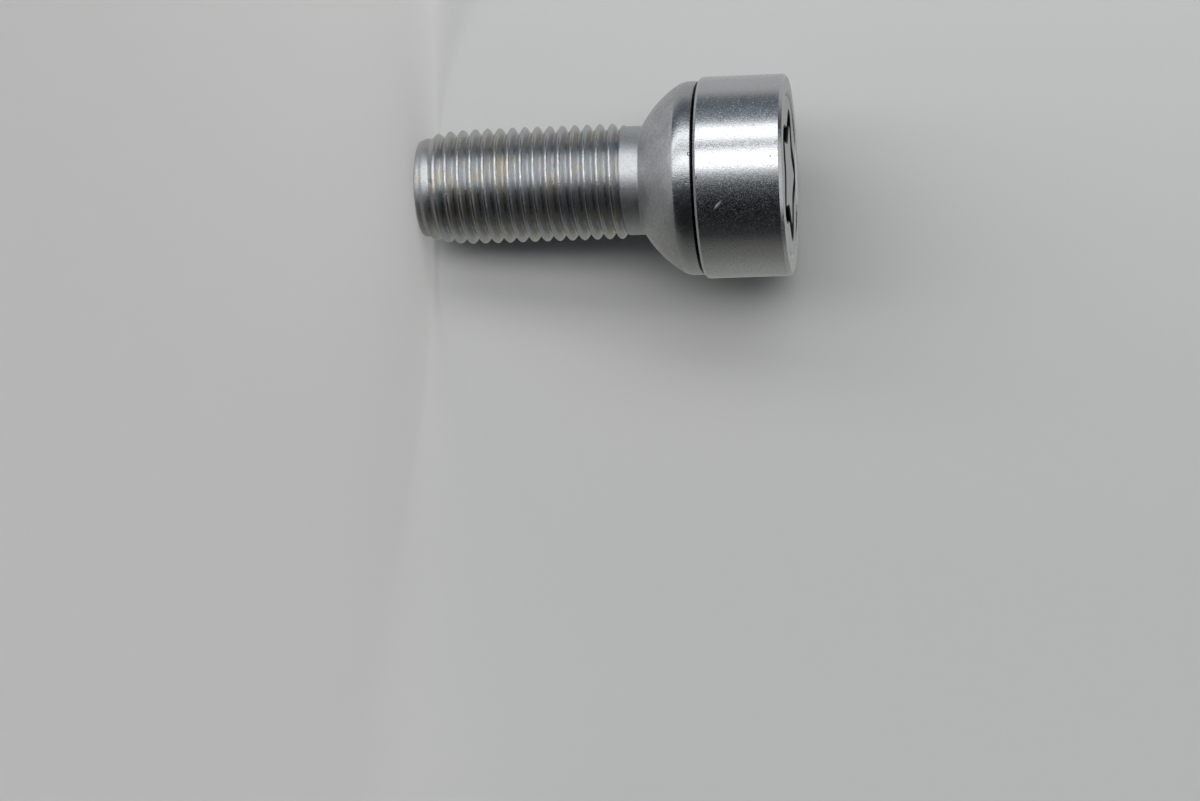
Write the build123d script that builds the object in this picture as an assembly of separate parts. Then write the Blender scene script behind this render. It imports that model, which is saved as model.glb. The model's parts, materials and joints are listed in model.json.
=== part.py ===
from build123d import *
import math
import os

# Locking wheel bolt: a forged ball-seat bolt with a wavy key groove in its head, a collar that
# turns freely round the head, and the hidden snap ring that keeps the collar on.
# Sizes are in millimetres. A station is a distance along the bolt's axis from its tip.

# Thread and shank
THREAD_D = 14.0  # major diameter, right-hand thread
THREAD_LENGTH = 23.7  # from the tip to the end of the thread
TIP_D = 11.2  # flat end of the tip
TIP_TAPER = 2.4  # length of the lead-in taper
SHANK_D = 12.85  # plain shank, as rolled threads leave it
PLAIN_LENGTH = 2.475  # plain shank between the thread's run-out and the ball seat
SEAT_FILLET = 0.35  # between the shank and the ball seat

# Ball seat and the band behind it
SEAT_RADIUS = 13.0
BAND_D = 22.8
BAND_LENGTH = 1.66
BAND_ROUNDING = 2.5  # between the ball seat and the band
BAND_CHAMFER = 0.1

# Collar
COLLAR_D = 23.7
COLLAR_LENGTH = 10.2
COLLAR_WALL = 2.3
COLLAR_GAP = 0.3  # open gap between the band and the collar
COLLAR_FRONT_CHAMFER = 0.4
COLLAR_REAR_CHAMFER = 0.3
BORE_CHAMFER = 0.3  # both mouths of the collar's bore

# Core of the head, inside the collar
CORE_CLEARANCE = 0.12  # radial running clearance in the collar
CORE_RECESS = 0.1  # how far the core's face lies behind the collar's
CORE_CHAMFER = 0.25

# Key groove in the core's face
KEY_DEPTH = 5.0
KEY_WIDTH = 1.8
KEY_LOBES = 5
KEY_PEAK_R = 8.2  # corner of a lobe's outer bend on the groove's mid-line, before it is rounded
KEY_VALLEY_R = 4.95  # corner of the inner bend between two lobes, likewise
KEY_BEND_R = 1.3  # rounding of every bend, on the mid-line
KEY_TURN = 88.0  # degrees, place of the first lobe
KEY_SWING = 0.3  # slow in-and-out of the lobes, twice a turn
KEY_SWING_TURN = 5.0  # degrees

# Snap ring and its two grooves
RING_WIDTH = 1.2  # along the axis
RING_THICKNESS = 1.2  # square to the axis
RING_SETBACK = 2.84  # from the band's face to the middle of the ring
RING_SIDE_PLAY = 0.1  # on each side of the ring, in both grooves
RING_SEAT_PLAY = 0.05  # between the ring and the floor of the collar's groove
RING_SQUEEZE = 0.1  # spare depth of the core's groove when the ring is pressed in
RING_OPENING = 24.0  # degrees left open between the ring's ends
COLLAR_GROOVE_DEPTH = 0.6

# Radii and stations that follow from the sizes above
thread_r = THREAD_D / 2
tip_r = TIP_D / 2
shank_r = SHANK_D / 2
band_r = BAND_D / 2
collar_r = COLLAR_D / 2
bore_r = collar_r - COLLAR_WALL
core_r = bore_r - CORE_CLEARANCE
collar_groove_r = bore_r + COLLAR_GROOVE_DEPTH
ring_outer_r = collar_groove_r - RING_SEAT_PLAY
core_groove_r = bore_r - RING_THICKNESS - RING_SQUEEZE

run_out_end = THREAD_LENGTH + thread_r - shank_r
seat_start = run_out_end + PLAIN_LENGTH
ball_center = seat_start + math.sqrt(SEAT_RADIUS**2 - shank_r**2)
band_start = ball_center - math.sqrt(SEAT_RADIUS**2 - band_r**2)
band_face = band_start + BAND_LENGTH
collar_rear = band_face + COLLAR_GAP
collar_front = collar_rear + COLLAR_LENGTH
core_front = collar_front - CORE_RECESS
ring_station = band_face + RING_SETBACK
groove_half_width = RING_WIDTH / 2 + RING_SIDE_PLAY


def on_ball(radius):
    """Point of the ball seat's outline at a distance from the axis."""
    return (ball_center - math.sqrt(SEAT_RADIUS**2 - radius**2), radius)


def bolt_blank():
    """Turned form of the bolt: tip, thread, shank, ball seat, band and grooved core."""
    shaft = Polyline(
        (0, 0),
        (0, tip_r),
        (TIP_TAPER, thread_r),
        (THREAD_LENGTH, thread_r),
        (run_out_end, shank_r),
        (seat_start, shank_r),
    )
    ball = ThreePointArc(on_ball(shank_r), on_ball((shank_r + band_r) / 2), on_ball(band_r))
    head = Polyline(
        (band_start, band_r),
        (band_face - BAND_CHAMFER, band_r),
        (band_face, band_r - BAND_CHAMFER),
        (band_face, core_r),
        (ring_station - groove_half_width, core_r),
        (ring_station - groove_half_width, core_groove_r),
        (ring_station + groove_half_width, core_groove_r),
        (ring_station + groove_half_width, core_r),
        (core_front - CORE_CHAMFER, core_r),
        (core_front, core_r - CORE_CHAMFER),
        (core_front, 0),
        (0, 0),
    )
    section = make_face([shaft, ball, head])
    seat_corner = section.vertices().sort_by_distance((seat_start, shank_r, 0))[0]
    section = fillet(seat_corner, SEAT_FILLET)
    band_corner = section.vertices().sort_by_distance((band_start, band_r, 0))[0]
    section = fillet(band_corner, BAND_ROUNDING)
    return revolve(section, Axis.X, 360)


def key_midline():
    """Area inside the key groove's wavy mid-line: a star of lobes with every bend rounded."""
    corners = []
    for step in range(2 * KEY_LOBES):
        angle = KEY_TURN + step * 180 / KEY_LOBES
        swing = KEY_SWING * math.cos(2 * math.radians(angle - KEY_SWING_TURN))
        radius = swing + (KEY_VALLEY_R if step % 2 else KEY_PEAK_R)
        corners.append((radius * math.cos(math.radians(angle)), radius * math.sin(math.radians(angle))))
    star = make_face(Polyline(*corners, close=True))
    return fillet(star.vertices(), KEY_BEND_R)


def key_groove():
    """Solid that the wavy key groove takes out of the core's face."""
    face_plane = Plane(origin=(core_front, 0, 0), x_dir=(0, 0, -1), z_dir=(1, 0, 0))
    midline = key_midline()
    groove = offset(midline, KEY_WIDTH / 2) - offset(midline, -KEY_WIDTH / 2)
    return extrude(face_plane * groove, amount=-KEY_DEPTH)


def spin_collar():
    """Sleeve round the core, with an inner groove for the snap ring."""
    section = Polyline(
        (collar_rear, bore_r + BORE_CHAMFER),
        (collar_rear, collar_r - COLLAR_REAR_CHAMFER),
        (collar_rear + COLLAR_REAR_CHAMFER, collar_r),
        (collar_front - COLLAR_FRONT_CHAMFER, collar_r),
        (collar_front, collar_r - COLLAR_FRONT_CHAMFER),
        (collar_front, bore_r + BORE_CHAMFER),
        (collar_front - BORE_CHAMFER, bore_r),
        (ring_station + groove_half_width, bore_r),
        (ring_station + groove_half_width, collar_groove_r),
        (ring_station - groove_half_width, collar_groove_r),
        (ring_station - groove_half_width, bore_r),
        (collar_rear + BORE_CHAMFER, bore_r),
        close=True,
    )
    return revolve(make_face(section), Axis.X, 360)


def snap_ring():
    """Open ring of flat spring wire that springs outwards into the collar's groove."""
    wire = Pos(ring_station, ring_outer_r - RING_THICKNESS / 2) * Rectangle(RING_WIDTH, RING_THICKNESS)
    ring = revolve(wire, Axis.X, 360 - RING_OPENING)
    return Rot(RING_OPENING / 2, 0, 0) * ring


def stand_up(solid):
    """Turn a piece from the X axis that it is drawn along to its stand on the flat tip, head up."""
    return Rot(0, 0, 90) * Rot(0, -90, 0) * solid


pieces = {
    "wheel_bolt": bolt_blank() - key_groove(),
    "spin_collar": spin_collar(),
    "snap_ring": snap_ring(),
}

os.makedirs("parts", exist_ok=True)
for name, solid in pieces.items():
    export_step(stand_up(solid), f"parts/{name}.step")
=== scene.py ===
import json
import math

import bpy
import numpy as np
from mathutils import Matrix, Vector


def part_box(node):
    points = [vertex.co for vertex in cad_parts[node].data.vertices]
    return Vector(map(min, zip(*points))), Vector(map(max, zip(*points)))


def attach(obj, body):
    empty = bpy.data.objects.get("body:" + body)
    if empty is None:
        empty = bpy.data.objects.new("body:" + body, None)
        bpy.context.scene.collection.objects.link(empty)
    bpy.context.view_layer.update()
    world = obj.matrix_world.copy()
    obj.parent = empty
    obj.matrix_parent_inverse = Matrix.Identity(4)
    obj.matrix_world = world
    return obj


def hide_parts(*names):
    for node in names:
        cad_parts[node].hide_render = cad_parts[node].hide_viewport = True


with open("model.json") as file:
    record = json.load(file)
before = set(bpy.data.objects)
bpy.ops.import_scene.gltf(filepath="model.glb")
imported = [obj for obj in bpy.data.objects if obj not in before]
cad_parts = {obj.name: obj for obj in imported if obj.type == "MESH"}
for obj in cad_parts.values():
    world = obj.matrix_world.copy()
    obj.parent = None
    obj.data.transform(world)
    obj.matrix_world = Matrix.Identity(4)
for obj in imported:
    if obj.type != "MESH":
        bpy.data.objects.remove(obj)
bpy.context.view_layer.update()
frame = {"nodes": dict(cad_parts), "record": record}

bl_info = {
    "name": "Locking wheel bolt",
    "version": (1, 0, 0),
    "blender": (4, 5, 0),
    "location": "View3D > Sidebar > Wheel bolt",
    "description": "Builds a zinc-plated locking wheel bolt with a rolled thread and a free-turning collar",
    "category": "Object",
}

MM = 0.001
BOLT_LOW, BOLT_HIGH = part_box("wheel_bolt")
COLLAR_LOW, COLLAR_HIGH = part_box("spin_collar")
THREAD_MOUNT = next(m for m in frame["record"]["mounts"] if m["name"] == "thread")

BOLT_COLUMNS = 200  # points round the bolt
COLLAR_COLUMNS = 256  # points round the collar
ROWS_PER_PITCH = 20  # rows of points in one turn of the thread
KEY_SAMPLES = 6000  # even points along the key groove's mid-line
SHARP_EDGE = math.radians(42)  # an edge that turns by more is shaded sharp
CREST_SETBACK = 0.17  # how far the visual crest lies inside the thread's nominal radius, in millimetres

# Places of the bolt's finishes in its list of materials; the fifth is painted shade, a near-black finish in the key
# groove and the gap behind the collar
THREAD, SEAT, BAND, FACE, PAINTED_SHADE, SHANK = range(6)

# Small dents in the thread, in millimetres and degrees: station, angle, length along the axis, width round it, depth
NICKS = [
    (16.55, 84.0, 0.16, 1.5, 0.14),
    (21.9, 64.0, 0.16, 2.0, 0.12),
    (3.9, 112.0, 0.14, 1.4, 0.06),
    (2.2, 101.0, 0.2, 2.2, 0.12),
    (12.6, 97.0, 0.3, 1.4, 0.14),
    (19.4, 118.0, 0.15, 1.6, 0.10),
]

# Studio light round the bolt's axis: degrees from the far side over the camera's side, brightness, cast from warm
# (below 0) to cool (above 0)
STUDIO = [
    (0, 0.33, 0.0), (5, 0.14, 0.15), (20, 0.14, 0.15), (43, 0.3, 0.15),
    (47, 2.3, 0.0), (62, 2.3, 0.0), (65, 0.25, 0.1), (73, 0.25, 0.1), (76, 2.3, 0.0), (95, 2.3, 0.0),
    (98, 0.62, 0.05), (105, 0.32, 0.05), (114, 0.06, 0.1), (135, 0.012, 0.1), (150, 0.012, 0.1),
    (176, 0.03, 0.0), (190, 0.13, -0.05), (210, 0.2, -0.06), (230, 0.3, -0.06), (255, 0.32, -0.06),
    (282, 0.38, -0.03), (290, 0.42, 0.0), (300, 0.52, 0.0), (320, 0.48, 0.0), (350, 0.52, 0.0), (360, 0.33, 0.0),
]
STUDIO_STRENGTH = 3.0  # the world's strength, by which the stops are divided
DARK_END = (0.017, 0.017, 0.018, 1.0)  # studio towards the ends of the axis
HEAD_LAMP = (0.25, 0.25, 0.25, 1.0)  # lamp over the head
TIP_END = (0.092, 0.092, 0.092, 1.0)  # studio below the tip
BLACK = (0.0, 0.0, 0.0, 1.0)
PLAIN_GREY = (0.18, 0.178, 0.177, 1.0)  # what a camera sees past the paper
HELD_DOWN = 0.9  # share of the light from the metal that doesn't reach the paper

# Paper
SHEET = 0.9  # how far the paper reaches to every side
BOARD_LEAN = math.radians(90 - 8.7086)  # turn from the floor at which the board touches the collar and the thread
BOARD_FOOT = 6.66 * MM  # where the board's plane meets the floor
BOARD_LEVEL = 0.151  # height of the board's unit normal; the floor's is 1
FLOOR_LIFT = 0.328  # light that the floor lacks beside the board

# Camera of the photo
CAMERA_PLACE = Vector((99.245, -338.473, 72.692)) * MM
CAMERA_RIGHT = Vector((-0.00494, 0.14847, 0.98890)).normalized()
CAMERA_AHEAD = Vector((-0.20790, 0.96715, -0.14625)).normalized()
CAMERA_LENS, CAMERA_SENSOR = 90.0, 36.0


# Properties

def length(name, text, millimetres):
    """A length that the sidebar shows, given in millimetres."""
    return bpy.props.FloatProperty(name=name, description=text, default=millimetres * MM, min=0.0,
                                   unit="LENGTH", subtype="DISTANCE", precision=5)


def angle(name, text, degrees):
    """An angle that the sidebar shows, given in degrees."""
    return bpy.props.FloatProperty(name=name, description=text, default=math.radians(degrees),
                                   unit="ROTATION", subtype="ANGLE")


def colour(name, text, red, green, blue):
    """A linear colour that the sidebar shows."""
    return bpy.props.FloatVectorProperty(name=name, description=text, default=(red, green, blue, 1.0), size=4,
                                         min=0.0, max=1.0, subtype="COLOR")


class BoltSizes(bpy.types.PropertyGroup):
    """Sizes of the forged bolt. A station is a height above the flat tip."""

    tip_radius: length("Tip radius", "Radius of the flat tip", 5.6)
    tip_edge: length("Tip edge", "Rounding of the tip's edge", 0.22)
    lead_in: length("Lead-in", "Length over which the crests gain three quarters of what the tip lacks", 2.8)
    lead_groove: length("Lead-in groove", "Depth of the thread where it starts on the lead-in", 0.28)
    thread_radius: length("Thread radius", "Radius of the thread's crest", THREAD_MOUNT["dims"]["r_mm"] - CREST_SETBACK)
    thread_pitch: length("Pitch", "Distance between two turns of the thread", 1.5)
    thread_depth: length("Thread depth", "Height of the thread from root to crest", 0.92)
    thread_crest: length("Crest width", "Width of the thread's crest before it is rounded", 0.3)
    crest_rounding: length("Crest rounding", "Width over which the crest's edges are rounded", 0.26)
    root_rounding: length("Root rounding", "Width over which the root is rounded", 0.08)
    thread_start: angle("Thread start", "Turn of the helix about the axis", 0.367 * 360)
    run_out_start: length("Run-out start", "Station where the thread begins to fade", 24.1)
    run_out_end: length("Run-out end", "Station where the plain shank begins", 24.9)
    shank_radius: length("Shank radius", "Radius of the plain shank", 6.425)
    seat_fillet: length("Seat fillet", "Fillet between the shank and the ball seat", 0.35)
    ball_radius: length("Ball radius", "Radius of the ball seat", 13.0)
    ball_station: length("Ball station", "Station of the ball's centre", 38.0513)
    band_radius: length("Band radius", "Radius of the band behind the seat", (BOLT_HIGH.x - BOLT_LOW.x) / 2 / MM)
    band_rounding: length("Band rounding", "Rounding between the ball seat and the band", 2.5)
    band_face: length("Band face", "Station of the band's face towards the collar", 33.4631)
    band_chamfer: length("Band chamfer", "Chamfer of the band's edge", 0.1)
    core_radius: length("Core radius", "Radius of the core inside the collar", 9.43)
    core_chamfer: length("Core chamfer", "Chamfer of the core's front edge", 0.25)
    core_front: length("Core front", "Station of the core's face", BOLT_HIGH.z / MM)
    ring_low: length("Ring groove low", "Lower side of the snap ring's groove", 35.6031)
    ring_high: length("Ring groove high", "Upper side of the snap ring's groove", 37.0031)
    ring_floor: length("Ring groove floor", "Radius of the snap ring's groove in the core", 8.25)
    key_width: length("Key groove width", "Width of the wavy key groove", 1.8)
    key_mouth: length("Key groove mouth", "Chamfer of the key groove's edges", 0.15)
    key_depth: length("Key groove depth", "Depth of the wavy key groove", 5.0)
    key_lobes: bpy.props.IntProperty(name="Key lobes", description="Outward bends of the key groove", default=5, min=3)
    key_peak: length("Key peak", "Corner radius of an outward bend before rounding", 8.2)
    key_valley: length("Key valley", "Corner radius of an inward bend before rounding", 4.95)
    key_bend: length("Key bend", "Rounding of the bends", 1.3)
    key_turn: angle("Key turn", "Place of the first outward bend", 88.0)
    key_swing: length("Key swing", "Slow in-and-out of the bends, twice a turn", 0.3)
    key_swing_turn: angle("Key swing turn", "Place of the swing's first rise", 5.0)


class CollarSizes(bpy.types.PropertyGroup):
    """Sizes of the collar that turns round the core."""

    radius: length("Radius", "Outer radius of the collar", (COLLAR_HIGH.x - COLLAR_LOW.x) / 2 / MM)
    rear: length("Rear", "Station of the face towards the band", COLLAR_LOW.z / MM)
    front: length("Front", "Station of the front face", COLLAR_HIGH.z / MM)
    bore: length("Bore", "Radius of the bore", 9.55)
    front_chamfer: length("Front chamfer", "Chamfer of the outer front edge", 0.4)
    rear_chamfer: length("Rear chamfer", "Chamfer of the outer rear edge", 0.3)
    bore_chamfer: length("Bore chamfer", "Chamfer of both mouths of the bore", 0.3)
    groove_low: length("Groove low", "Lower side of the snap ring's groove", 35.6031)
    groove_high: length("Groove high", "Upper side of the snap ring's groove", 37.0031)
    groove_radius: length("Groove radius", "Radius of the groove's floor", 10.15)


class BoltColours(bpy.types.PropertyGroup):
    """Colours of the finishes and of the stage."""

    zinc: colour("Bright zinc", "Smooth bright plating", 0.59, 0.605, 0.62)
    rolled: colour("Rolled zinc", "Plating of the rolled thread", 0.54, 0.555, 0.57)
    turned: colour("Turned zinc", "Plating of the turned shank", 0.54, 0.555, 0.57)
    band: colour("Band zinc", "Plating of the turned band", 0.47, 0.485, 0.50)
    satin: colour("Satin zinc", "Matt plating of the ball seat", 0.47, 0.48, 0.48)
    faced: colour("Faced zinc", "Plating of the core's flat face", 0.78, 0.79, 0.80)
    straw: colour("Straw tint", "Passivation tint on the thread", 0.60, 0.56, 0.46)
    rose: colour("Rose tint", "Passivation tint on the thread", 0.60, 0.51, 0.51)
    sky: colour("Sky tint", "Passivation tint on the thread", 0.48, 0.54, 0.60)
    # Painted shade and grit: a near-black colour that paints the shade in the key groove, in the gap behind the collar
    # and in the collar's bore, and darkens the random grit, specks and spots
    grit_and_painted_shade: colour("Recess", "Thin dull plating inside the key groove and the gap", 0.035, 0.035, 0.038)
    spring: colour("Spring steel", "Oiled spring wire of the snap ring", 0.20, 0.20, 0.205)
    paper: colour("Paper", "Pale floor and backdrop", 0.70, 0.695, 0.69)
    # Painted shade: a darker paper colour for the side away from the panels, where less light falls
    paper_painted_shade: colour("Paper, low side", "Floor and backdrop on the side away from the panels", 0.59, 0.587, 0.583)


# Surfaces

def arc(centre, radius, start, end, steps):
    """Points of a circle about a centre in the (station, radius) plane, from one angle to another."""
    turn = np.linspace(start, end, steps)
    return np.column_stack([centre[0] + radius * np.cos(turn), centre[1] + radius * np.sin(turn)])


def rounded(corners, steps=5):
    """Outline through (x, y, rounding) corners. Each rounding is an arc tangent to both sides of its corner, with one
    more point on either side, half as far again from the corner, so that the flat sides keep their shading."""
    runs = [np.array([corners[0][:2]])]
    for before, here, after in zip(corners, corners[1:], corners[2:]):
        point = np.array(here[:2])
        back = np.array(before[:2]) - point
        ahead = np.array(after[:2]) - point
        back = back / np.hypot(*back)
        ahead = ahead / np.hypot(*ahead)
        half = math.acos(np.clip(back @ ahead, -1.0, 1.0)) / 2
        reach = here[2] / math.tan(half)
        inward = (back + ahead) / np.hypot(*(back + ahead))
        centre = point + inward * here[2] / math.sin(half)
        first = point + back * reach - centre
        last = point + ahead * reach - centre
        start = math.atan2(first[1], first[0])
        sweep = math.remainder(math.atan2(last[1], last[0]) - start, 2 * math.pi)
        runs.append(np.array([point + back * reach * 1.5]))
        runs.append(arc(centre, here[2], start, start + sweep, steps))
        runs.append(np.array([point + ahead * reach * 1.5]))
    runs.append(np.array([corners[-1][:2]]))
    return np.concatenate(runs)


def smooth_top(value, soft):
    """The larger of a value and zero, with the kink at zero rounded over a width: (x + sqrt(x^2 + w^2)) / 2."""
    return (value + np.sqrt(value**2 + soft**2)) / 2


def ease(value, low, high):
    """0 below the low end, 1 above the high end and a cubic 3t^2 - 2t^3 between."""
    t = np.clip((value - low) / (high - low), 0.0, 1.0)
    return t * t * (3 - 2 * t)


def ring_points(station, radius, turn):
    """Rows carried round the axis: every station becomes a ring of the turn's angles, at one radius or at one for each
    angle."""
    height = np.broadcast_to(station[:, None], (len(station), len(turn)))
    return np.stack([-radius * np.cos(turn), -radius * np.sin(turn), height], axis=-1)


def new_piece(name, points, faces, materials):
    """Smooth-shaded object of a mesh, linked to the scene."""
    mesh = bpy.data.meshes.new(name)
    mesh.from_pydata(points.tolist(), [], faces)
    for material in materials:
        mesh.materials.append(material)
    mesh.polygons.foreach_set("use_smooth", np.ones(len(faces), dtype=bool))
    mesh.update()
    piece = bpy.data.objects.new(name, mesh)
    bpy.context.scene.collection.objects.link(piece)
    return piece


def skin(name, grid, row_finish, finishes, poles):
    """Mesh of a grid of rows and columns that closes round the axis. A quad joins each point to the next column and
    the next row. With poles, a fan closes the first and the last row on its own middle; without, the last row joins
    the first."""
    rows, columns = grid.shape[:2]
    index = np.arange(rows * columns).reshape(rows, columns)
    beside = np.roll(index, -1, axis=1)
    if not poles:
        index = np.vstack([index, index[:1]])
        beside = np.vstack([beside, beside[:1]])
    quads = np.stack([index[:-1], beside[:-1], beside[1:], index[1:]], axis=-1).reshape(-1, 4)
    finish = np.repeat(row_finish[:len(index) - 1], columns)
    points = grid.reshape(-1, 3)
    faces = quads.tolist()
    if poles:
        low, high = len(points), len(points) + 1
        points = np.vstack([points, grid[0].mean(axis=0), grid[-1].mean(axis=0)])
        low_fan = np.column_stack([beside[0], index[0], np.full(columns, low)])
        high_fan = np.column_stack([index[-1], beside[-1], np.full(columns, high)])
        faces += low_fan.tolist() + high_fan.tolist()
        finish = np.concatenate([finish, np.full(columns, row_finish[0]), np.full(columns, row_finish[-1])])
    piece = new_piece(name, points, faces, finishes)
    piece.data.polygons.foreach_set("material_index", finish.astype(np.int32))
    piece.data.set_sharp_from_angle(angle=SHARP_EDGE)
    piece.data.update()
    return piece


def thread_radius(sizes, station, turn):
    """Radius of the rolled thread. Across the helix, x is the distance to the nearest crest line; the height falls by
    1.732 mm per mm (a 60 degree thread) past half the crest's width and stops at the thread's depth, with both kinks
    rounded. Near the tip the crests only reach a radius that grows from the tip's with tanh(station / lead-in), above
    the same roots or a shallow groove, and at the other end the thread fades into the plain shank."""
    pitch = sizes.thread_pitch
    phase = station / pitch - (turn + sizes.thread_start) / (2 * math.pi)
    across = np.abs(phase - np.round(phase)) * pitch
    slope = math.sqrt(3)
    half = slope * sizes.thread_crest / 2
    soft = sizes.crest_rounding
    fall = smooth_top(slope * across - half, soft) - smooth_top(-half, soft)
    fall = sizes.thread_depth - smooth_top(sizes.thread_depth - fall, sizes.root_rounding)
    root = sizes.thread_radius - sizes.thread_depth
    lead = sizes.tip_radius + (sizes.thread_radius - sizes.tip_radius) * np.tanh(station / sizes.lead_in)
    shallow = sizes.lead_groove * ease(station, 0.3 * MM, 1.0 * MM)
    depth = np.maximum(lead - root, shallow)
    radius = lead - depth * fall / sizes.thread_depth
    fade = ease(station, sizes.run_out_start, sizes.run_out_end)
    return radius * (1 - fade) + sizes.shank_radius * fade


def nicks(station, turn, spots):
    """Depth of small dents: each spot (station, angle in degrees, length along the axis, width round it, depth) takes
    its depth times a bell exp(-(ds/length)^2 - (da/width)^2)."""
    depth = np.zeros(np.broadcast(station, turn).shape)
    for at, degrees, along, around, deep in spots:
        gap = np.remainder(turn - math.radians(degrees) + math.pi, 2 * math.pi) - math.pi
        depth += deep * MM * np.exp(-((station - at * MM) / (along * MM))**2 - (gap / math.radians(around))**2)
    return depth


def key_outline(sizes, turn):
    """Points and outward normals of the key groove's mid-line, one for each angle round the face. The line is a star
    whose corners lie in turn on the peak and the valley radius, plus a swing of cos 2(angle - swing turn), with every
    corner rounded."""
    steps = np.arange(-1, 2 * sizes.key_lobes + 2)
    at = sizes.key_turn + steps * math.pi / sizes.key_lobes
    radius = np.where(steps % 2 == 0, sizes.key_peak, sizes.key_valley)
    radius = radius + sizes.key_swing * np.cos(2 * (at - sizes.key_swing_turn))
    bend = np.full(len(steps), sizes.key_bend)
    line = rounded(np.column_stack([radius * np.cos(at), radius * np.sin(at), bend]).tolist(), steps=24)
    run = np.concatenate([[0.0], np.cumsum(np.hypot(*np.diff(line, axis=0).T))])
    even = np.linspace(0.0, run[-1], KEY_SAMPLES)
    x = np.interp(even, run, line[:, 0])
    y = np.interp(even, run, line[:, 1])
    tangent = np.stack([np.gradient(x), np.gradient(y)])
    tangent /= np.hypot(*tangent)
    polar = np.unwrap(np.arctan2(y, x))
    middle = sizes.key_turn + math.pi
    face_turn = np.remainder(turn + math.pi / 2 - middle + math.pi, 2 * math.pi) + middle - math.pi
    polar += 2 * math.pi * round((middle - polar.mean()) / (2 * math.pi))
    point = np.stack([np.interp(face_turn, polar, x), np.interp(face_turn, polar, y)], axis=-1)
    normal = np.stack([np.interp(face_turn, polar, tangent[1]), np.interp(face_turn, polar, -tangent[0])], axis=-1)
    return point, normal / np.linalg.norm(normal, axis=-1, keepdims=True)


def on_face(flat, station):
    """Points of the face: the face's own x runs along +Y and its y along -X, at a height above the tip."""
    height = np.broadcast_to(np.asarray(station, dtype=float), flat.shape[:-1])
    return np.stack([-flat[..., 1], flat[..., 0], height], axis=-1)


def face_rows(sizes, rim_row, turn):
    """Rows of the core's face, from its rim to the island's middle. The groove's section, offsets from the mid-line
    and depths with rounded edges, is carried along the mid-line; straight rows join it to the rim and to the middle."""
    point, normal = key_outline(sizes, turn)
    half, deep, mouth = sizes.key_width / 2, sizes.key_depth, sizes.key_mouth
    shoulder = half + mouth + 0.3 * MM
    side = [(shoulder, 0, 0), (half + mouth, 0, 0.04 * MM), (half, mouth, 0.06 * MM), (half, deep, 0.35 * MM)]
    section = rounded(side + [(-offset, depth, bend) for offset, depth, bend in side[::-1]], steps=4)[1:-1]
    groove = on_face(point[None] + section[:, :1, None] * normal[None], sizes.core_front - section[:, 1:])
    outward_share = np.array([0.3, 0.7])[:, None, None]
    outside = rim_row + (groove[0] - rim_row) * outward_share
    centre = np.array([0.0, 0.0, sizes.core_front])
    inward_share = np.array([0.85, 0.5, 0.2])[:, None, None]
    island = centre + (groove[-1] - centre) * inward_share
    return outside, groove, island


def beside_ball(sizes, radius, rounding):
    """Centre of a rounding's arc between the ball seat and a cylinder: outside both, or inside both where the rounding
    is below 0."""
    height = radius + rounding
    return np.array([sizes.ball_station - math.sqrt((sizes.ball_radius + rounding)**2 - height**2), height])


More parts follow.
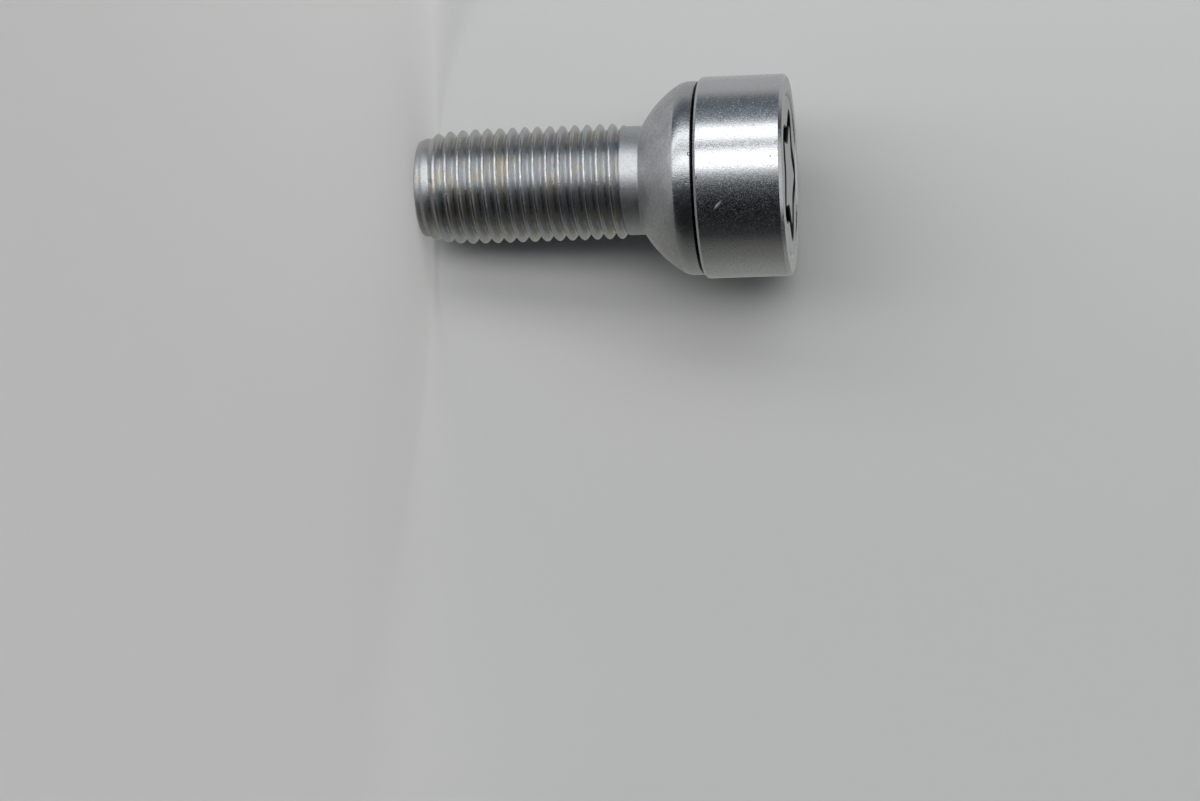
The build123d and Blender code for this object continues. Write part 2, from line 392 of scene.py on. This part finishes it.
def bolt_skin(sizes, colours):
    """The whole forging in one closed grid: tip, thread, shank, ball seat, band, core and key groove."""
    turn = np.linspace(0.0, 2 * math.pi, BOLT_COLUMNS, endpoint=False)
    tip = rounded([(0.0, 0.0, 0.0), (0.0, sizes.tip_radius, sizes.tip_edge), (sizes.lead_in, sizes.thread_radius, 0.0)])
    tip = np.vstack([[[0.0, 1.5 * MM], [0.0, 4.0 * MM]], tip[1:-1]])
    step = sizes.thread_pitch / ROWS_PER_PITCH
    thread = np.arange(tip[-1, 0] + step, sizes.run_out_end + 0.1 * MM, step)

    ball = np.array([sizes.ball_station, 0.0])
    low = beside_ball(sizes, sizes.shank_radius, sizes.seat_fillet)
    high = beside_ball(sizes, sizes.band_radius, -sizes.band_rounding)
    low_turn = math.atan2(*(low - ball)[::-1])
    high_turn = math.atan2(*(high - ball)[::-1])
    plain = np.linspace(thread[-1] + 0.2 * MM, low[0] - 0.15 * MM, 8)
    shank = np.column_stack([plain, np.full(len(plain), sizes.shank_radius)])
    shank = np.vstack([shank, arc(low, sizes.seat_fillet, -math.pi / 2, low_turn - math.pi, 9)])
    seat = arc(ball, sizes.ball_radius, low_turn, high_turn, 30)[1:]
    crown = arc(high, sizes.band_rounding, high_turn, math.pi / 2, 10)[1:]
    edge = 0.05 * MM
    head = rounded([
        (high[0] + 0.1 * MM, sizes.band_radius, 0.0),
        (sizes.band_face - sizes.band_chamfer, sizes.band_radius, edge),
        (sizes.band_face, sizes.band_radius - sizes.band_chamfer, 0.03 * MM),
        (sizes.band_face, sizes.core_radius, edge),
        (sizes.ring_low, sizes.core_radius, edge),
        (sizes.ring_low, sizes.ring_floor, edge),
        (sizes.ring_high, sizes.ring_floor, edge),
        (sizes.ring_high, sizes.core_radius, edge),
        (sizes.core_front - sizes.core_chamfer, sizes.core_radius, 0.08 * MM),
        (sizes.core_front, sizes.core_radius - sizes.core_chamfer, 0.06 * MM),
        (sizes.core_front, sizes.core_radius - sizes.core_chamfer - 0.2 * MM, 0.0),
    ], steps=4)
    band = np.vstack([crown, head])

    outline = np.vstack([tip, np.column_stack([thread, thread]), shank, seat, band])
    station = outline[:, 0]
    threaded = slice(len(tip), len(tip) + len(thread))
    radius = np.repeat(outline[:, 1:], len(turn), axis=1)
    radius[threaded] = thread_radius(sizes, thread[:, None], turn[None])
    radius -= nicks(station[:, None], turn[None], NICKS) * ease(radius, 5 * MM, 6 * MM)
    grid = ring_points(station, radius, turn)
    outside, groove, island = face_rows(sizes, grid[-1], turn)

    # The key groove's walls take the painted shade finish
    parts = [(tip, THREAD), (thread, THREAD), (shank, SHANK), (seat, SEAT), (band, BAND),
             (outside, FACE), (groove, PAINTED_SHADE), (island, FACE)]
    row_finish = np.concatenate([np.full(len(rows), finish) for rows, finish in parts])
    groove_rows = np.flatnonzero(row_finish == PAINTED_SHADE)
    row_finish[groove_rows[:3]] = FACE  # the groove's chamfers shine as the face does
    row_finish[groove_rows[-4:]] = FACE
    turned = row_finish[:len(outline)]
    turned[:threaded.stop][station[:threaded.stop] > sizes.run_out_end - 0.4 * MM] = SHANK
    # Painted shade: the band's face and the core in the gap behind the collar take the near-black finish
    turned[(station > sizes.band_face - 0.02 * MM) & (outline[:, 1] < sizes.band_radius - 0.3 * MM)] = PAINTED_SHADE
    turned[station > sizes.core_front - 0.5 * MM] = FACE
    finishes = [
        thread_zinc(colours),
        seat_zinc(colours),
        turned_zinc(colours, "band_zinc", colours.band, sheen=0.29, dulling=0.1),
        face_zinc(colours),
        painted_shade_zinc(colours),
        turned_zinc(colours, "shank_zinc", colours.turned, sheen=0.48, dulling=0.2),
    ]
    return skin("bolt_forging", np.concatenate([grid, outside, groove, island]), row_finish, finishes, poles=True)


def collar_skin(sizes, colours):
    """The collar's closed section, with rounded chamfers and the inner groove, carried round the axis."""
    turn = np.linspace(0.0, 2 * math.pi, COLLAR_COLUMNS, endpoint=False)
    rear, front, bore = sizes.rear, sizes.front, sizes.bore
    mouth = bore + sizes.bore_chamfer
    inner, lip, rim, wall = 0.04 * MM, 0.06 * MM, 0.1 * MM, 0.14 * MM
    corners = [
        (rear, mouth, inner),
        (rear, sizes.radius - sizes.rear_chamfer, rim),
        (rear + sizes.rear_chamfer, sizes.radius, wall),
        (front - sizes.front_chamfer, sizes.radius, wall),
        (front, sizes.radius - sizes.front_chamfer, rim),
        (front, mouth, lip),
        (front - sizes.bore_chamfer, bore, lip),
        (sizes.groove_high, bore, inner),
        (sizes.groove_high, sizes.groove_radius, inner),
        (sizes.groove_low, sizes.groove_radius, inner),
        (sizes.groove_low, bore, inner),
        (rear + sizes.bore_chamfer, bore, inner),
    ]
    outline = rounded(corners[-1:] + corners + corners[:1], steps=5)[1:-1]
    # Painted shade: the bore and the rear face in the gap behind the collar take the near-black second finish
    in_bore = (outline[:, 1] < mouth - 0.01 * MM) & (outline[:, 0] < front - 0.5 * MM)
    in_gap = (outline[:, 0] < rear + 0.02 * MM) & (outline[:, 1] < sizes.radius - sizes.rear_chamfer - 0.1 * MM)
    row_finish = np.where(in_bore | in_gap, 1, 0)
    finishes = [collar_zinc(colours), painted_shade_zinc(colours)]
    grid = ring_points(outline[:, 0], outline[:, 1:], turn)
    return skin("free_collar", grid, row_finish, finishes, poles=False)


# Finishes

class Signal:
    """A shader socket that takes part in Python sums. Each operator adds one Math node."""

    def __init__(self, finish, socket):
        self.finish = finish
        self.socket = socket

    def math(self, operation, first, second=0.0):
        return self.finish.add("ShaderNodeMath", {"operation": operation}, {0: first, 1: second})

    def __add__(self, other):
        return self.math("ADD", self, other)

    def __sub__(self, other):
        return self.math("SUBTRACT", self, other)

    def __rsub__(self, other):
        return self.math("SUBTRACT", other, self)

    def __mul__(self, other):
        return self.math("MULTIPLY", self, other)

    def __truediv__(self, other):
        return self.math("DIVIDE", self, other)

    def __rtruediv__(self, other):
        return self.math("DIVIDE", other, self)

    def __pow__(self, other):
        return self.math("POWER", self, other)

    __radd__ = __add__
    __rmul__ = __mul__


class Finish:
    """The node tree of a material or of the world."""

    def __init__(self, owner):
        owner.use_nodes = True
        self.tree = owner.node_tree
        self.tree.nodes.clear()

    def add(self, kind, settings=None, sockets=None, output=0):
        """Add one node: its settings first, a colour ramp's stops among them, then the value of or the link to each
        named socket."""
        node = self.tree.nodes.new(kind)
        for key, value in (settings or {}).items():
            if key == "stops":
                stops = node.color_ramp.elements
                stops.remove(stops[-1])
                for place, shade in value:
                    stop = stops.new(place) if place > value[0][0] else stops[0]
                    stop.position = place
                    stop.color = shade
            else:
                setattr(node, key, value)
        for key, value in (sockets or {}).items():
            if isinstance(value, Signal):
                self.tree.links.new(value.socket, node.inputs[key])
            else:
                node.inputs[key].default_value = value
        return Signal(self, node.outputs[output]) if len(node.outputs) else node

    def place(self):
        """Object coordinates of the piece."""
        return self.add("ShaderNodeTexCoord", output="Object")

    def grain(self, size, detail=2.0, rough=0.5, where=None):
        """Noise from 0 to 1 whose features are about a size across."""
        return self.add("ShaderNodeTexNoise", {"noise_dimensions": "3D"},
                        {"Vector": where or self.place(), "Scale": 1.0 / size, "Detail": detail, "Roughness": rough})

    def unrolled(self, where=None):
        """Turn about the axis in radians, and place along it."""
        parts = self.add("ShaderNodeSeparateXYZ", None, {0: where or self.place()}).socket.node.outputs
        across, depth, along = (Signal(self, socket) for socket in parts)
        return across.math("ARCTAN2", 0.0 - depth, 0.0 - across), along

    def reach(self):
        """Distance from the axis."""
        flat = self.add("ShaderNodeVectorMath", {"operation": "MULTIPLY"}, {0: self.place(), 1: (1.0, 1.0, 0.0)})
        return self.add("ShaderNodeVectorMath", {"operation": "LENGTH"}, {0: flat}, output="Value")

    def mark(self, station, degrees, radius, long, wide, lean=0):
        """1 on a small mark of a length and a width in millimetres, and 0 around it. With no lean it lies along the
        axis."""
        turn, along = self.unrolled()
        x = (along - station * MM) / MM
        y = (turn - math.radians(degrees)) * radius
        c, s = math.cos(math.radians(lean)), math.sin(math.radians(lean))
        along_mark = (x * c + y * s) * (2.0 / long)
        across_mark = (y * c - x * s) * (2.0 / wide)
        return 1.0 - self.rise(along_mark ** 2.0 + across_mark ** 2.0, 0.4, 1.3)

    def rise(self, value, low, high):
        """0 below the low end, 1 above the high end, smooth between."""
        return self.add("ShaderNodeMapRange", {"interpolation_type": "SMOOTHSTEP"},
                        {"Value": value, "From Min": low, "From Max": high})

    def mix(self, factor, first, second):
        """Colour between two colours."""
        return self.add("ShaderNodeMix", {"data_type": "RGBA"}, {0: factor, 6: first, 7: second}, output=2)

    def bump(self, height, depth, strength=1.0, under=None):
        """Normal of a height from 0 to 1 that stands for a depth in metres."""
        sockets = {"Height": height, "Distance": depth, "Strength": strength}
        if under:
            sockets["Normal"] = under
        return self.add("ShaderNodeBump", None, sockets)

    def metal(self, base, roughness, normal=None):
        """Metal surface, joined to the output."""
        sockets = {"Base Color": base, "Roughness": roughness, "Metallic": 1.0}
        if normal:
            sockets["Normal"] = normal
        surface = self.add("ShaderNodeBsdfPrincipled", None, sockets)
        self.add("ShaderNodeOutputMaterial", None, {"Surface": surface})


def thread_zinc(colours):
    """Bright zinc on the rolled thread: streaks along the turns, fine grain, burnished crests and roots, a duller tip,
    and faint straw, rose and sky tints."""
    material = bpy.data.materials.new("thread_zinc")
    finish = Finish(material)
    tint = finish.mix(0.55 * finish.rise(finish.grain(2.6 * MM, 2), 0.45, 0.66), colours.rolled[:], colours.straw[:])
    tint = finish.mix(0.6 * finish.rise(finish.grain(1.5 * MM, 2), 0.56, 0.72), tint, colours.rose[:])
    tint = finish.mix(0.35 * finish.rise(finish.grain(2.1 * MM, 1), 0.5, 0.72), tint, colours.sky[:])
    turn, along = finish.unrolled()
    ribbon = finish.add("ShaderNodeCombineXYZ", None, {0: turn * 0.004, 1: along})
    streaks = finish.grain(0.14 * MM, 2, 0.6, ribbon)
    fine = finish.grain(0.16 * MM, 3, 0.6)
    wear = finish.grain(0.5 * MM, 3, 0.6)
    specks = finish.rise(finish.grain(0.2 * MM, 3, 0.65), 0.48, 0.66)
    normal = finish.bump(streaks, 0.03 * MM)
    normal = finish.bump(fine, 0.018 * MM, under=normal)
    reach = finish.reach()
    past_tip = finish.rise(along, 1.2 * MM, 2.4 * MM)
    roots = past_tip * (1.0 - finish.rise(reach, 5.94 * MM, 6.12 * MM))
    crests = finish.rise(reach, 6.5 * MM, 6.8 * MM)
    tint = finish.mix(0.22 * specks, tint, colours.grit_and_painted_shade[:])
    dull = 1.0 - finish.rise(along, 0.8 * MM, 2.2 * MM)
    finish.metal(tint, 0.22 + 0.18 * wear + 0.08 * specks - 0.11 * (crests + roots) + 0.14 * dull, normal)
    return material


def seat_zinc(colours):
    """Satin zinc on the ball seat: an even, fine, matt grain."""
    material = bpy.data.materials.new("seat_zinc")
    finish = Finish(material)
    fine = finish.grain(0.16 * MM, 3, 0.65)
    cloud = finish.grain(1.6 * MM, 3)
    grit = finish.grain(0.3 * MM, 3, 0.65)
    base = finish.mix(finish.rise(0.35 * cloud + 0.65 * grit, 0.4, 0.6), colours.satin[:], colours.zinc[:])
    finish.metal(base, 0.42 + 0.12 * cloud, finish.bump(fine, 0.03 * MM))
    return material


def turned_zinc(colours, name, plating, sheen, dulling):
    """Bright zinc on the turned band and the shank: a sheen of a mean roughness, with specks that dull it, dark grit,
    shallow pits and one dent in the band's edge."""
    material = bpy.data.materials.new(name)
    finish = Finish(material)
    fine = finish.grain(0.18 * MM, 3, 0.6)
    specks = finish.rise(finish.grain(0.16 * MM, 1), 0.58, 0.68)
    pits = finish.rise(finish.grain(0.5 * MM, 2), 0.6, 0.74)
    dent = finish.mark(station=33.4, degrees=92.2, radius=11.4, long=0.5, wide=0.42)
    normal = finish.bump(fine - 0.4 * pits, 0.017 * MM)
    normal = finish.bump(1.0 - dent, 0.1 * MM, under=normal)
    grit = finish.rise(finish.grain(0.28 * MM, 3, 0.65), 0.48, 0.68)
    base = finish.mix(dulling * grit, plating[:], colours.grit_and_painted_shade[:])
    finish.metal(base, sheen - 0.14 + 0.16 * finish.grain(0.9 * MM, 2) + dulling * specks, normal)
    return material


def face_zinc(colours):
    """Flat zinc on the core's face: dull, with a fine grain and faint clouds."""
    material = bpy.data.materials.new("face_zinc")
    finish = Finish(material)
    fine = finish.grain(0.15 * MM, 3, 0.6)
    cloud = finish.grain(0.9 * MM, 3)
    base = finish.mix(0.4 + 0.4 * finish.rise(cloud, 0.4, 0.7), colours.zinc[:], colours.faced[:])
    finish.metal(base, 0.34 + 0.14 * cloud, finish.bump(fine, 0.016 * MM))
    return material


def painted_shade_zinc(colours):
    """Painted shade: near-black, dull zinc with a fine grain inside the key groove, in the gap behind the collar and in
    the collar's bore, where shade falls.
    """
    material = bpy.data.materials.new("painted_shade_zinc")
    finish = Finish(material)
    fine = finish.grain(0.2 * MM, 3, 0.6)
    finish.metal(colours.grit_and_painted_shade[:], 0.35 + 0.15 * fine, finish.bump(fine, 0.02 * MM))
    return material


def collar_zinc(colours):
    """Bright zinc on the collar: a soft sheen crowded with fine dull specks, shallow dents, a scratch and two dark
    spots."""
    material = bpy.data.materials.new("collar_zinc")
    finish = Finish(material)
    fine = finish.grain(0.17 * MM, 3, 0.65)
    specks = finish.rise(finish.grain(0.1 * MM, 2), 0.5, 0.64)
    dots = finish.rise(finish.grain(0.2 * MM, 1), 0.64, 0.7)
    mottle = finish.grain(0.55 * MM, 3, 0.6)
    radius = 11.85
    scratch = finish.mark(36.47, 121.9, radius, long=1.25, wide=0.26, lean=-46)
    spots = (finish.mark(42.7, 95.6, radius, long=0.22, wide=0.22)
             + finish.mark(34.15, 105.8, radius, long=0.2, wide=0.3))
    normal = finish.bump(mottle, 0.006 * MM)
    normal = finish.bump(fine, 0.01 * MM, under=normal)
    normal = finish.bump(scratch, 0.02 * MM, under=normal)
    base = finish.mix(0.8 * spots, colours.zinc[:], colours.grit_and_painted_shade[:])
    finish.metal(base, 0.11 + 0.12 * mottle + 0.23 * specks + 0.2 * dots + 0.4 * scratch, normal)
    return material


def spring_steel(colours):
    """Oiled spring steel of the snap ring, with a fine grain."""
    material = bpy.data.materials.new("spring_steel")
    finish = Finish(material)
    fine = finish.grain(0.12 * MM, 3, 0.6)
    finish.metal(colours.spring[:], 0.3 + 0.15 * fine, finish.bump(fine, 0.01 * MM))
    return material


def paper(colours):
    """Matt pale paper that shows its upper side only. Reflections that meet it squarely or far off pass it and see the
    studio, so that the bolt's back isn't black. Its level part, the floor, shows to the camera only, lifted to the
    board's tone."""
    material = bpy.data.materials.new("pale_paper")
    finish = Finish(material)
    glossy = finish.add("ShaderNodeLightPath", output="Is Glossy Ray")
    camera = finish.add("ShaderNodeLightPath", output="Is Camera Ray")
    back = finish.add("ShaderNodeNewGeometry", output="Backfacing")
    normal = finish.add("ShaderNodeNewGeometry", output="Normal")
    facing = 1.0 - finish.add("ShaderNodeLayerWeight", None, {"Blend": 0.5}, output="Facing")
    level = finish.add("ShaderNodeVectorMath", {"operation": "DOT_PRODUCT"}, {0: normal, 1: (0.0, 0.0, 1.0)},
                       output="Value")
    flat = finish.rise(level, 0.2, 1.0)
    far = finish.add("ShaderNodeLightPath", output="Ray Length")
    passing = back.math("MAXIMUM", finish.rise(facing, 0.6, 0.85), finish.rise(far, 6 * MM, 20 * MM))
    unseen = back.math("MAXIMUM", back, glossy * passing)
    unseen = back.math("MAXIMUM", unseen, (1.0 - camera) * flat)
    across = finish.add("ShaderNodeSeparateXYZ", None, {0: finish.place()})
    # Painted shade: the paper darkens across its width towards the side away from the panels
    shade = finish.mix(finish.rise(across, -50 * MM, 50 * MM), colours.paper[:], colours.paper_painted_shade[:])
    matt = finish.add("ShaderNodeBsdfDiffuse", None, {"Color": shade})
    beyond = level.math("MAXIMUM", level - BOARD_LEVEL, 0.0) / (1.0 - BOARD_LEVEL)
    lack = FLOOR_LIFT * beyond ** 2.2
    lift = finish.add("ShaderNodeEmission", None, {"Color": shade, "Strength": camera * lack})
    lit = finish.add("ShaderNodeAddShader", None, {0: matt, 1: lift})
    clear = finish.add("ShaderNodeBsdfTransparent")
    surface = finish.add("ShaderNodeMixShader", None, {0: unseen, 1: lit, 2: clear})
    finish.add("ShaderNodeOutputMaterial", None, {"Surface": surface})
    return material


# Stage

def studio(scene):
    """World of a small photo studio. About the bolt's axis, from its far side over the camera's side to the table's
    side, its brightness follows a ramp of two soft panels between dark ends and a pale table, each stop with a cast
    from warm (below 0) to cool (above 0). Towards both ends of the axis it darkens, but for a lamp over the head. What
    the bolt's metal would throw back on the paper is held down, so that the paper keeps a dark shadow under it."""
    world = bpy.data.worlds.new("studio")
    scene.world = world
    finish = Finish(world)
    turn, along = finish.unrolled(finish.add("ShaderNodeTexCoord", output="Generated"))
    turn = turn / (2 * math.pi)
    turn = turn.math("FRACT", turn)
    stops = []
    for degrees, light, cast in STUDIO:
        level = light / STUDIO_STRENGTH
        stops.append((degrees / 360, (level * (1 - max(cast, 0)), level, level * (1 + cast), 1.0)))
    light = finish.add("ShaderNodeValToRGB", {"stops": stops}, {0: turn})
    light = finish.mix(finish.rise(along, 0.62, 0.86), light, DARK_END)
    light = finish.mix(finish.rise(along, 0.9, 0.95), light, HEAD_LAMP)
    light = finish.mix(finish.rise(0.0 - along, 0.82, 0.95), light, TIP_END)
    glossy = finish.add("ShaderNodeLightPath", output="Is Glossy Ray")
    scatters = finish.add("ShaderNodeLightPath", output="Diffuse Depth")
    thrown_back = glossy * scatters.math("MINIMUM", scatters, 1.0)
    light = finish.mix(HELD_DOWN * thrown_back, light, BLACK)
    seen = finish.add("ShaderNodeLightPath", output="Is Camera Ray")
    shown = finish.mix(seen, light, PLAIN_GREY)
    background = finish.add("ShaderNodeBackground", None, {"Color": shown, "Strength": STUDIO_STRENGTH})
    finish.add("ShaderNodeOutputWorld", None, {"Surface": background})


def sweep_points():
    """Paper sweep: a floor that runs back to the bolt, turns up in a cove and leans back as a board that touches the
    collar and the thread. The cove's radius is small beside the bolt and grows with the distance from it."""
    far_side = np.geomspace(6 * MM, SHEET, 26)
    side = np.concatenate([-far_side[::-1], np.linspace(-4 * MM, 4 * MM, 5), far_side])
    cove = 0.9 * MM + 45 * MM * ease(np.abs(side), 8 * MM, 90 * MM)
    reach = cove * math.tan(BOARD_LEAN / 2)
    start = BOARD_FOOT - reach
    run = np.linspace(0.0, 1.0, 5)[:-1, None]
    floor = np.stack([-SHEET + (start + SHEET) * run, 0.0 * run + 0.0 * reach], axis=-1)
    bend = np.linspace(0.0, BOARD_LEAN, 24)[:, None]
    curve = np.stack([start + cove * np.sin(bend), cove - cove * np.cos(bend)], axis=-1)
    rise = reach + (SHEET - reach) * np.linspace(0.0, 1.0, 6)[1:, None] ** 2
    wall = np.stack([BOARD_FOOT + rise * math.cos(BOARD_LEAN), rise * math.sin(BOARD_LEAN)], axis=-1)
    section = np.concatenate([floor, curve, wall])
    return np.concatenate([np.broadcast_to(side[None, :, None], section.shape[:2] + (1,)), section], axis=-1)


def sheet(name, grid, material):
    """Open grid as a mesh whose upper side faces the bolt."""
    rows, columns = grid.shape[:2]
    index = np.arange(rows * columns).reshape(rows, columns)
    quads = np.stack([index[:-1, :-1], index[:-1, 1:], index[1:, 1:], index[1:, :-1]], axis=-1).reshape(-1, 4)
    piece = new_piece(name, grid.reshape(-1, 3), quads.tolist(), [material])
    return piece


def photo_camera(scene):
    """Camera that sees the bolt as the photo does, rolled so that the bolt's axis runs to the right."""
    data = bpy.data.cameras.new("camera")
    data.lens = CAMERA_LENS
    data.sensor_width = CAMERA_SENSOR
    data.clip_start = 0.01
    camera = bpy.data.objects.new("camera", data)
    scene.collection.objects.link(camera)
    upward = CAMERA_RIGHT.cross(CAMERA_AHEAD)
    basis = Matrix((CAMERA_RIGHT, upward, -CAMERA_AHEAD)).transposed().to_4x4()
    camera.matrix_world = Matrix.Translation(CAMERA_PLACE) @ basis
    scene.camera = camera


# Operators

class LOCKING_BOLT_OT_forging(bpy.types.Operator):
    """Build the forged bolt with its thread, ball seat and key groove"""

    bl_idname = "locking_bolt.forging"
    bl_label = "Forged bolt"

    def execute(self, context):
        piece = bolt_skin(context.scene.bolt_sizes, context.scene.bolt_colours)
        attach(piece, "bolt")
        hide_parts("wheel_bolt")
        return {"FINISHED"}


class LOCKING_BOLT_OT_collar(bpy.types.Operator):
    """Build the collar that turns freely round the head"""

    bl_idname = "locking_bolt.collar"
    bl_label = "Free collar"

    def execute(self, context):
        piece = collar_skin(context.scene.collar_sizes, context.scene.bolt_colours)
        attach(piece, "collar")
        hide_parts("spin_collar")
        return {"FINISHED"}


class LOCKING_BOLT_OT_snap_ring(bpy.types.Operator):
    """Give the hidden snap ring its spring steel"""

    bl_idname = "locking_bolt.snap_ring"
    bl_label = "Snap ring"

    def execute(self, context):
        ring = frame["nodes"]["snap_ring"]
        ring.data.materials.clear()
        ring.data.materials.append(spring_steel(context.scene.bolt_colours))
        return {"FINISHED"}


class LOCKING_BOLT_OT_stage(bpy.types.Operator):
    """Set up the pale floor, the studio light and the camera"""

    bl_idname = "locking_bolt.stage"
    bl_label = "Stage"

    def execute(self, context):
        scene = context.scene
        material = paper(scene.bolt_colours)
        sheet("paper_sweep", sweep_points() - np.array([0.0, 0.0, 0.01 * MM]), material)
        edge = np.linspace(-SHEET, SHEET, 7)
        flat = np.stack(np.broadcast_arrays(edge[None, :], edge[:, None], -0.04 * MM), axis=-1)
        sheet("floor", flat, material)
        studio(scene)
        photo_camera(scene)
        scene.view_settings.view_transform = "Standard"
        return {"FINISHED"}


class LOCKING_BOLT_PT_panel(bpy.types.Panel):
    """Sidebar panel of the wheel bolt"""

    bl_idname = "LOCKING_BOLT_PT_panel"
    bl_label = "Wheel bolt"
    bl_space_type = "VIEW_3D"
    bl_region_type = "UI"
    bl_category = "Wheel bolt"

    def draw(self, context):
        layout = self.layout
        for operator in OPERATORS:
            layout.operator(operator.bl_idname)
        for group in (context.scene.bolt_sizes, context.scene.collar_sizes, context.scene.bolt_colours):
            column = layout.column(align=True)
            for key in group.bl_rna.properties.keys():
                if key not in {"rna_type", "name"}:
                    column.prop(group, key)


OPERATORS = (
    LOCKING_BOLT_OT_forging,
    LOCKING_BOLT_OT_collar,
    LOCKING_BOLT_OT_snap_ring,
    LOCKING_BOLT_OT_stage,
)
GROUPS = {"bolt_sizes": BoltSizes, "collar_sizes": CollarSizes, "bolt_colours": BoltColours}
CLASSES = (*GROUPS.values(), *OPERATORS, LOCKING_BOLT_PT_panel)


def register():
    for cls in CLASSES:
        bpy.utils.register_class(cls)
    for key, cls in GROUPS.items():
        setattr(bpy.types.Scene, key, bpy.props.PointerProperty(type=cls))


def unregister():
    for key in GROUPS:
        delattr(bpy.types.Scene, key)
    for cls in reversed(CLASSES):
        bpy.utils.unregister_class(cls)


def main():
    """Build every piece and the stage."""
    register()
    bpy.ops.locking_bolt.forging()
    bpy.ops.locking_bolt.collar()
    bpy.ops.locking_bolt.snap_ring()
    bpy.ops.locking_bolt.stage()


if __name__ == "__main__":
    main()
